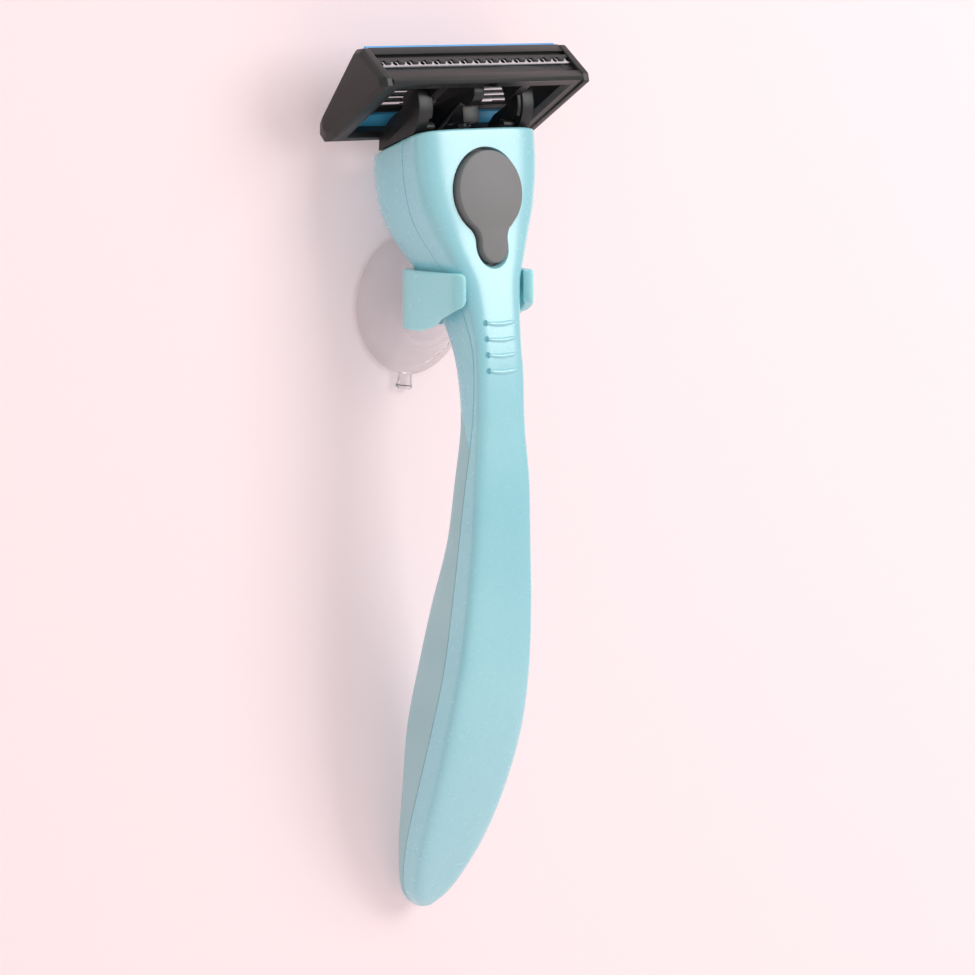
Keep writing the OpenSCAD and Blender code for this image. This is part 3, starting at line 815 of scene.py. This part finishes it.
def rear_shell():
    """The back of the head and neck, and the core that runs down under the soft grip."""
    shell = half_body("rear_shell", 1, 11)
    cut(shell, hollow(), grip_side("below", 0))
    core = half_body("core", 1, CORE_END, rim=False, first=CORE_START, grow=-GRIP_T)
    fuse(shell, core)
    place(shell, HERE, FINISH["aqua"], "handle", smooth=32)


def rear_grip():
    """The soft overmoulded back of the lower handle."""
    grip = half_body("rear_grip", 1, LAST, rim=False, first=6)
    core = half_body("core", 1, CORE_END, rim=False, first=CORE_START - 0.5, grow=0.02 - GRIP_T)
    keep(grip, grip_side("behind", 0.08))
    cut(grip, core)
    place(grip, HERE, FINISH["grip"], "handle", smooth=32)


# ================================================================ mechanism in the head


def release_button():
    button = layers("release_button", keyhole, [
        (-BUTTON_PROUD, -0.24), (0.03 - BUTTON_PROUD, -0.13), (0.11 - BUTTON_PROUD, -0.04),
        (0.22 - BUTTON_PROUD, 0), (BUTTON_BACK - 0.55, 0)])
    flange = layers("flange", keyhole, [(INNER_FACE + 0.1, 1), (BUTTON_BACK, 1)])
    wedge = prism("wedge", [(BUTTON_BACK - 0.1, -7.4), (5, -7.4), (7.8, -10.2), (7.8, -10.9),
                            (BUTTON_BACK - 0.1, -10.9)], -WEDGE_HALF, WEDGE_HALF)
    pegs = [rod("peg", 0.7, (x, BUTTON_BACK - 0.1, 0), (x, BUTTON_BACK + 0.7, 0))
            for x in (-PEG_X, PEG_X)]
    fuse(button, flange, wedge, *pegs)
    place(button, HEAD, FINISH["grey"], "button", smooth=30)


def plunger():
    point = CARTRIDGE @ Vector((0, NOSE_Y, NOSE_Z))
    top = in_head(point.y, point.z)[1] - NOSE_R - 0.1
    front, foot, back = PLUNGER_Y
    outline = [(front, PLUNGER_LOW), (front, top), (foot, top), (back, top - PLUNGER_SLOPE),
               (back, PLUNGER_LOW)]
    bar = prism("plunger", outline, -PLUNGER_HALF, PLUNGER_HALF)
    soften(bar, 0.14)
    fuse(bar, rod("rod", ROD_R, (0, ROD_Y, -0.6), (0, ROD_Y, PLUNGER_LOW + 0.2)))
    place(bar, HEAD, FINISH["plunger"], "plunger")


def disc(name, radius, x0, x1, centre):
    return prism(name, arc(*centre, radius, 0, 357.5, 143), x0, x1)


def sector(name, r0, r1, a0, a1, x0, x1):
    """A curved rail about the cartridge's pivot, in the head's frame."""
    outline = arc(*PIVOT_IN_HEAD, r1, a0, a1, 24) + arc(*PIVOT_IN_HEAD, r0, a1, a0, 24)
    return prism(name, outline, x0, x1)


def rim_wall():
    """The room of the mouth's right wall, which the arm steps in from, in the head's frame."""
    slope = math.atan2(RIM_FRONT[1] - RIM_BACK[1], RIM_BACK[0] - RIM_FRONT[0])
    wall = block("rim_wall", (FOOT_OUT, -20, -30), (20, 40, 0.3))
    turn = Matrix.Rotation(-slope, 4, "X")
    wall.data.transform(HEAD.inverted() @ Matrix.Translation((0, *RIM_FRONT)) @ turn)
    return wall


def arm():
    """The right arm: a curved horn about the pivot on a foot that runs down to the crossbar."""
    py, pz = PIVOT_IN_HEAD
    inner = ARM_OUT - ARM_T
    trim = [(-2.6, 1.75), (-7, 2.9), (-9, -1), (-6, -9), (5, -9), (3.9, -6.2), (2.3, -2.8),
            (1.05, -1.75), (-2.15, -0.45)]
    horn = disc("horn", ARM_R, inner, ARM_OUT, PIVOT_IN_HEAD)
    keep(horn, prism("trim", [(py + y, pz + z) for y, z in trim], inner - 1, ARM_OUT + 1))
    near, low = TONGUE_Y[0], BAR_Z[0]
    foot = prism("foot", [(py - 3.85, pz - 4.86), (5.5, 7), (near, 5.2), (near, low), (11, low),
                          (11.4, 8), (10.9, 10.4)], inner, ARM_OUT)
    fuse(horn, foot)
    cut(horn, rim_wall())
    soften(horn, 0.16, 3)
    rail = sector("rail", 5, 5.9, 161, 205, inner - 0.79, inner + 0.1)
    soften(rail, 0.08)
    y, z = in_head(*STOP)
    pin = rod("pin", 0.75, (inner - STOP_LENGTH, y, z), (inner + 0.1, y, z))
    soften(pin, 0.1)
    return fuse(horn, rail, pin)


def yoke():
    right = arm()
    left = mirror(right)
    near, far = TONGUE_Y
    bar = block("yoke", (-FOOT_OUT, near, BAR_Z[0]), (FOOT_OUT, far - 0.1, BAR_Z[1]))
    soften(bar, 0.12)
    tongue = block("tongue", (-TONGUE_HALF, near, TONGUE_LOW), (TONGUE_HALF, far, BAR_Z[0] + 0.1))
    soften(tongue, 0.2)
    fuse(bar, right, left, tongue)
    place(bar, HEAD, FINISH["black"], "yoke")


# ================================================================ cartridge


def window(x0, x1):
    """A way through the cartridge from its back, with a bevelled rim."""
    y0, y1 = WINDOW_Y
    rings = []
    for grow, rise in ((1.1, -1.2), (0.9, -0.1), (0.0, 0.75), (0.0, 12)):
        corners = ((x0 - grow, y0 - grow), (x1 + grow, y0 - grow), (x1 + grow, y1 + grow),
                   (x0 - grow, y1 + grow))
        rings.append([(x, y, back_z(y) + rise) for x, y in corners])
    return loft("window", rings)


def body_outline():
    edge = 0.55
    return [(CAP_Y, STRIP_Z), (CAP_Y, BACK_CAP + edge), (CAP_Y + edge, back_z(CAP_Y + edge)),
            (GUARD_Y - 0.5, back_z(GUARD_Y - 0.5)), (GUARD_Y, BACK_GUARD + 0.4),
            (GUARD_Y - 0.8, FACE_Z - 0.25), (GUARD_Y - 1.1, FACE_Z),
            (STRIP_Y[1] + 0.1, FACE_Z), (STRIP_Y[1] + 0.1, STRIP_Z)]


def hole_row(depth):
    """The trimmer's row of round holes, this deep from the cartridge's edge, as a cutter."""
    hole = rod("hole", HOLE_R, (0, -1, 0), (0, depth, 0), 24)
    first = -HOLE_PITCH * (HOLE_COUNT - 1) / 2
    return repeated("holes", hole, HOLE_COUNT, (first, CAP_Y, HOLE_Z), (HOLE_PITCH, 0, 0))


def trimmer_comb():
    """The thin comb over the trimmer blade: a rail with short teeth between the blade's holes."""
    comb = block("comb", (0.1 - FRAME_HALF, CAP_Y + 0.05, HOLE_Z + 0.55),
                 (FRAME_HALF - 0.1, CAP_Y + 0.21, HOLE_Z + 1.15))
    tooth = block("tooth", (-0.55, CAP_Y + 0.05, HOLE_Z - 0.12), (0.55, CAP_Y + 0.21, HOLE_Z + 0.6))
    soften(tooth, 0.05)
    count = HOLE_COUNT - 1
    first = -HOLE_PITCH * (count - 1) / 2
    return join(comb, repeated("teeth", tooth, count, (first, 0, 0), (HOLE_PITCH, 0, 0)))


def cartridge_frame():
    """The cartridge's moulded body: windows, ribs, bearing cheeks, comb bar and trimmer recess."""
    body = prism("cartridge_frame", body_outline(), -FRAME_HALF, FRAME_HALF)
    cut(body, window(RIB_HALF, WINDOW_HALF), window(-WINDOW_HALF, -RIB_HALF))
    room = PLUNGER_HALF + 0.3
    cut(body, prism("relief", RELIEF, -room, room))
    comb = block("comb_bar", (-WINDOW_HALF - 1, 2.15, SEAT_Z), (WINDOW_HALF + 1, 3.1, FACE_Z - 0.3))
    soften(comb, 0.1)
    notches = [block("notch", (x - w / 2, 1, FACE_Z - 0.62), (x + w / 2, 2.75, FACE_Z))
               for x, w in ((0, 2.0), (-9.5, 5), (9.5, 5), (-15.8, 1.2), (15.8, 1.2))]
    cut(comb, *notches)
    centre = ARM_OUT - ARM_T - CHEEK_GAP - CHEEK_T / 2
    cheek_line = [(CAP_Y + 1, back_z(CAP_Y + 1)), (-3, back_z(-3)), (-3, SEAT_Z), (CAP_Y + 1, SEAT_Z)]
    cheek = prism("cheek", cheek_line, centre - CHEEK_T / 2, centre + CHEEK_T / 2)
    cut(cheek, disc("opening", CHEEK_OPENING, centre - 2, centre + 2, (0, 0)))
    other = mirror(cheek)
    nose = disc("nose", NOSE_R, -RIB_HALF, RIB_HALF, (NOSE_Y, NOSE_Z))
    fuse(body, cheek, other, nose)
    bay = block("bay", (-BLADE_HALF - 0.3, -4.9, SEAT_Z), (BLADE_HALF + 0.3, 2.1, 9))
    tray = block("tray", (0.4 - FRAME_HALF, -8.3, 2), (FRAME_HALF - 0.4, -4.85, 9))
    guard = block("guard", (0.4 - FRAME_HALF, 3.15, 1.9), (FRAME_HALF - 0.4, 6, 9))
    tracks = []
    for side in (-1, 1):
        x = side * (ARM_OUT - ARM_T - CHEEK_GAP - 0.4)
        outline = arc(0, 0, TRACK_R[1], 160, 256, 30) + arc(0, 0, TRACK_R[0], 256, 160, 30)
        tracks.append(prism("track", outline, x - 0.45, x + 0.45))
    recess = block("recess", (-FRAME_HALF - 1, CAP_Y - 1, -3.4), (FRAME_HALF + 1, CAP_Y + 0.5, 1.4))
    cut(body, bay, tray, guard, *tracks, recess, hole_row(2.2))
    fuse(body, comb)
    soften(body, 0.09)
    join(body, trimmer_comb())
    place(body, CARTRIDGE, FINISH["black"], "cartridge", smooth=30)


def end_cap(side):
    """An octagonal cap that closes one end of the cartridge."""
    line = [(-8.2, 3.9), (-9.35, 2.7), (-9.35, -4.2), (-8.5, -5.3), (6.9, 0.35), (7.9, 1.4),
            (7.7, 2.9), (6.4, 3.9)]
    rings = [[(side * x, -0.8 * f + y * (1 - 0.16 * f), z * (1 - 0.16 * f)) for y, z in line]
             for x, f in ((FRAME_HALF, 0), (FRAME_HALF + 1.2, 0), (HALF, 1))]
    name = "end_cap_right" if side > 0 else "end_cap_left"
    cap = loft(name, rings)
    soften(cap, 0.16, 3, 20)
    place(cap, CARTRIDGE, FINISH["black"], "cartridge", smooth=30)


def fin(lean):
    """One slanting guard fin with a rounded crest."""
    rings = []
    for y in (3.35, 3.45, 5.7, 5.8):
        x = lean * (y - 3.35)
        drop = 0.12 if y in (3.35, 5.8) else 0.0
        section = [(-0.3, 3.0), (-0.2, 3.55 - drop), (-0.08, 3.73 - drop), (0.08, 3.73 - drop),
                   (0.2, 3.55 - drop), (0.3, 3.0)]
        rings.append([(x + dx, y, z) for dx, z in section])
    return loft("fin", rings)


def guard_rubber():
    """The soft guard: two rows of slanting fins that meet at the middle, with a pad at each end."""
    guard = block("guard_rubber", (0.5 - FRAME_HALF, 3.25, 2.6), (FRAME_HALF - 0.5, 5.9, 3.1))
    lean = FIN_LEAN
    shift = lean * 2.45
    left = repeated("fins", fin(lean), FIN_COUNT, (-0.35 - shift, 0, 0), (-FIN_PITCH, 0, 0))
    right = repeated("fins", fin(-lean), FIN_COUNT, (0.35 + shift, 0, 0), (FIN_PITCH, 0, 0))
    pads = [block("pad", (x - 0.75, 3.4, 3.0), (x + 0.75, 5.75, 3.7)) for x in (-17.8, 17.8)]
    for pad in pads:
        soften(pad, 0.15)
    join(guard, left, right, *pads)
    place(guard, CARTRIDGE, FINISH["rubber"], "cartridge", smooth=40)


def guard_base():
    base = block("guard_base", (0.5 - FRAME_HALF, 3.25, 1.95), (FRAME_HALF - 0.5, 5.9, 2.6))
    soften(base, 0.08)
    place(base, CARTRIDGE, FINISH["teal"], "cartridge")


def lube_parts():
    """The lubricating strip and the tray that it is pressed into."""
    tray = block("lube_tray", (0.5 - FRAME_HALF, -8.2, 2.05), (FRAME_HALF - 0.5, -4.95, STRIP_Z))
    soften(tray, 0.1)
    place(tray, CARTRIDGE, FINISH["black"], "cartridge")
    strip = block("lube_strip", (0.05 - FRAME_HALF, STRIP_Y[0], STRIP_Z),
                  (FRAME_HALF - 0.05, STRIP_Y[1], STRIP_TOP))
    soften(strip, 0.12, 3)
    place(strip, CARTRIDGE, FINISH["lube"], "cartridge")


def trimmer_blade():
    """The single blade behind the comb on the cartridge's edge."""
    blade = block("trimmer_blade", (0.1 - FRAME_HALF, CAP_Y + 0.24, HOLE_Z - 0.75),
                  (FRAME_HALF - 0.1, CAP_Y + 0.48, 0.6))
    soften(blade, 0.04)
    cut(blade, hole_row(1))
    place(blade, CARTRIDGE, FINISH["blade"], "cartridge")


def carried_nodes():
    """Finishes for the CAD parts that are right as they are."""
    finishes = {"guide_block": "grey", "ejector_slide": "black", "button_springs": "wire",
                "ejector_spring": "wire", "plunger_spring": "wire"}
    for k in range(1, 7):
        finishes[f"blade_{k}"] = "blade"
        finishes[f"blade_holder_{k}"] = "holder"
    for name, finish in finishes.items():
        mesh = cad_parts[name].data
        mesh.materials.clear()
        mesh.materials.append(FINISH[finish])


# ================================================================ stage, light and camera


def plain(name, colour, rough):
    """A plain painted sheet: matt, with a barely visible roller mottle."""
    made, tree, body = surface(name, {"Roughness": rough, "Specular IOR Level": 0.2})
    mottle = grain(tree, 60, 2)
    tone = ramp(tree, mottle.outputs["Fac"], 0, 1)
    tint(tree, body, tone.outputs["Result"], colour, colour)
    return made, tree, body


def backdrop():
    """A pale wall behind the cup. From behind it is see-through, so the back can be looked at."""
    made, tree, body = plain("pale_wall", WALL_COLOUR, 0.9)
    body.inputs["Emission Color"].default_value = linear(WALL_COLOUR)
    body.inputs["Emission Strength"].default_value = WALL_GLOW
    output = next(n for n in tree.nodes if n.type == "OUTPUT_MATERIAL")
    side = add(tree, "ShaderNodeNewGeometry")
    clear = add(tree, "ShaderNodeBsdfTransparent")
    either = add(tree, "ShaderNodeMixShader", {
        0: side.outputs["Backfacing"], 1: body.outputs["BSDF"], 2: clear.outputs["BSDF"]})
    tree.links.new(either.outputs["Shader"], output.inputs["Surface"])
    wide = 900
    wall = solid("pale_wall", [(-wide, 0.4, -wide), (wide, 0.4, -wide), (wide, 0.4, wide),
                               (-wide, 0.4, wide)], [(0, 1, 2, 3)])
    floor = solid("pale_floor", [(-wide, -wide, -260), (wide, -wide, -260), (wide, wide, -260),
                                 (-wide, wide, -260)], [(0, 1, 2, 3)])
    for sheet, finish in ((wall, made), (floor, plain("pale_floor", FLOOR_COLOUR, 0.8)[0])):
        sheet.data.transform(Matrix.Scale(MM, 4))
        sheet.data.materials.append(finish)


def lamp(name, at, aim, size, watts, colour="#FFFFFF"):
    """A soft square area light, placed and aimed in millimetres."""
    data = bpy.data.lights.new(name, "AREA")
    data.shape = "RECTANGLE"
    data.size, data.size_y = size[0] * MM, size[1] * MM
    data.energy = watts
    data.color = linear(colour)[:3]
    obj = bpy.data.objects.new(name, data)
    way = Vector(aim) - Vector(at)
    obj.matrix_world = (Matrix.Translation(Vector(at) * MM)
                        @ way.to_track_quat("-Z", "Y").to_matrix().to_4x4())
    bpy.context.scene.collection.objects.link(obj)


def camera():
    """Left of the front and a little above, with a long lens."""
    data = bpy.data.cameras.new("camera")
    data.sensor_width = 36
    data.lens = CAMERA_LENS
    data.clip_start = 0.01
    turn, rise = math.radians(CAMERA_TURN), math.radians(CAMERA_RISE)
    right = Vector((math.cos(turn), math.sin(turn), 0))
    back = Vector((math.sin(turn) * math.cos(rise), -math.cos(turn) * math.cos(rise), math.sin(rise)))
    up = back.cross(right)
    frame_axes = Matrix((right, up, back)).transposed().to_4x4()
    obj = bpy.data.objects.new("camera", data)
    obj.matrix_world = Matrix.Translation(Vector(CAMERA_AT) * MM) @ frame_axes
    bpy.context.scene.collection.objects.link(obj)
    bpy.context.scene.camera = obj


def light():
    world = bpy.data.worlds.new("studio")
    world.use_nodes = True
    sky = world.node_tree.nodes["Background"]
    sky.inputs["Color"].default_value = linear("#F6F4F4")
    sky.inputs["Strength"].default_value = SKY
    bpy.context.scene.world = world
    bpy.context.scene.view_settings.view_transform = "Standard"
    lamp("key", (420, -560, 260), (0, -15, -20), (420, 520), KEY_W)
    lamp("fill", (-520, -420, 120), (0, -15, -20), (420, 420), FILL_W)
    lamp("top", (0, -160, 520), (0, -15, 0), (420, 300), TOP_W)


# ================================================================ the whole thing

backdrop()
light()
camera()
suction_cup()
holder_clip()
front_shell()
rear_shell()
rear_grip()
release_button()
plunger()
yoke()
cartridge_frame()
end_cap(-1)
end_cap(1)
guard_base()
guard_rubber()
lube_parts()
trimmer_blade()
carried_nodes()
